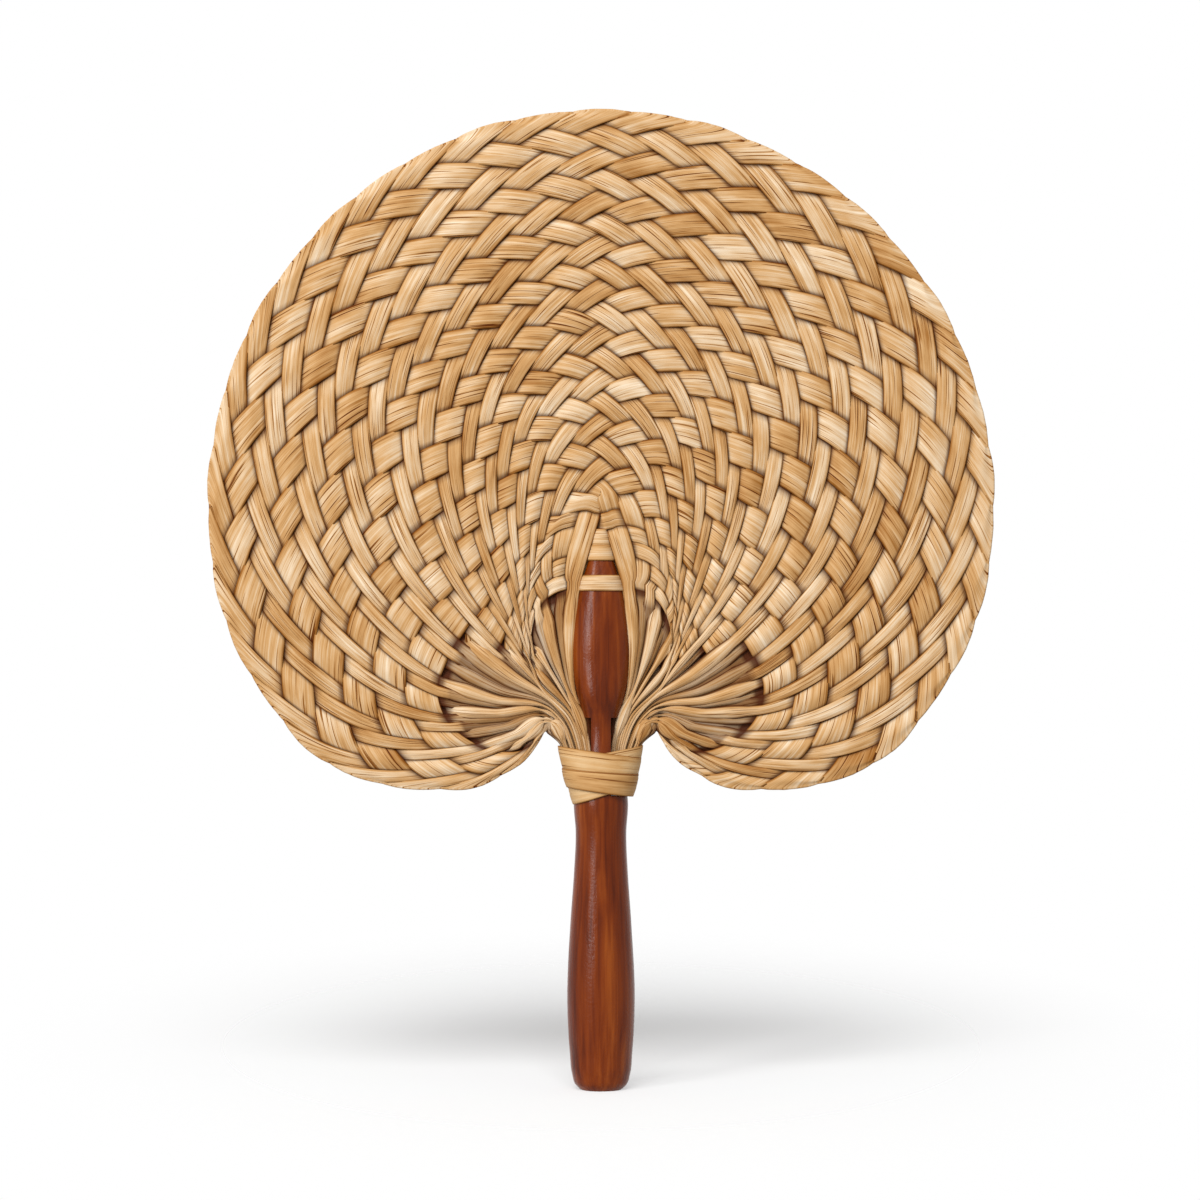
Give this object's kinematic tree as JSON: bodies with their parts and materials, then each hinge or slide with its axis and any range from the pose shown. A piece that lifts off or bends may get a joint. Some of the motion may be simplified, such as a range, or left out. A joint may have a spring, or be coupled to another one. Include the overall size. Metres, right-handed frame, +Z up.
{
  "type": "palm leaf hand fan",
  "caption": "Rigid hand fan: a round two-lobed blade plaited from palm leaf strips on a turned wooden handle whose spike is woven in, with a leaf binding at the neck.",
  "frame": {"origin": "centre of the handle's flat butt end", "axes": "+Z up along the handle, towards the top of the blade; +X to the right in the picture's view; the front of the fan faces -Y"},
  "size_m": [0.322, 0.0278, 0.4025],
  "materials": {
    "wood": "oiled, satin",
    "leaf": "dry leaf, slight sheen",
    "binding_leaf": "dry leaf, slight sheen"
  },
  "bodies": {
    "root": {"handle": "wood", "neck_binding": "binding_leaf", "spike_strap_1": "leaf", "spike_strap_2": "leaf", "spike_strap_3": "leaf", "spike_strap_4": "leaf", "cross_strip_1": "leaf", "cross_strip_2": "leaf", "left_strip_01": "leaf", "right_strip_01": "leaf", "left_strip_02": "leaf", "right_strip_02": "leaf", "left_strip_03": "leaf", "right_strip_03": "leaf", "left_strip_04": "leaf", "right_strip_04": "leaf", "left_strip_05": "leaf", "right_strip_05": "leaf", "left_strip_06": "leaf", "right_strip_06": "leaf", "left_strip_07": "leaf", "right_strip_07": "leaf", "left_strip_08": "leaf", "right_strip_08": "leaf", "left_strip_09": "leaf", "right_strip_09": "leaf", "left_strip_10": "leaf", "right_strip_10": "leaf", "left_strip_11": "leaf", "right_strip_11": "leaf", "left_strip_12": "leaf", "right_strip_12": "leaf", "left_strip_13": "leaf", "right_strip_13": "leaf", "left_strip_14": "leaf", "right_strip_14": "leaf", "left_strip_15": "leaf", "right_strip_15": "leaf", "left_strip_16": "leaf", "right_strip_16": "leaf", "left_strip_17": "leaf", "right_strip_17": "leaf", "top_strip": "leaf"}
  },
  "joints": []
}
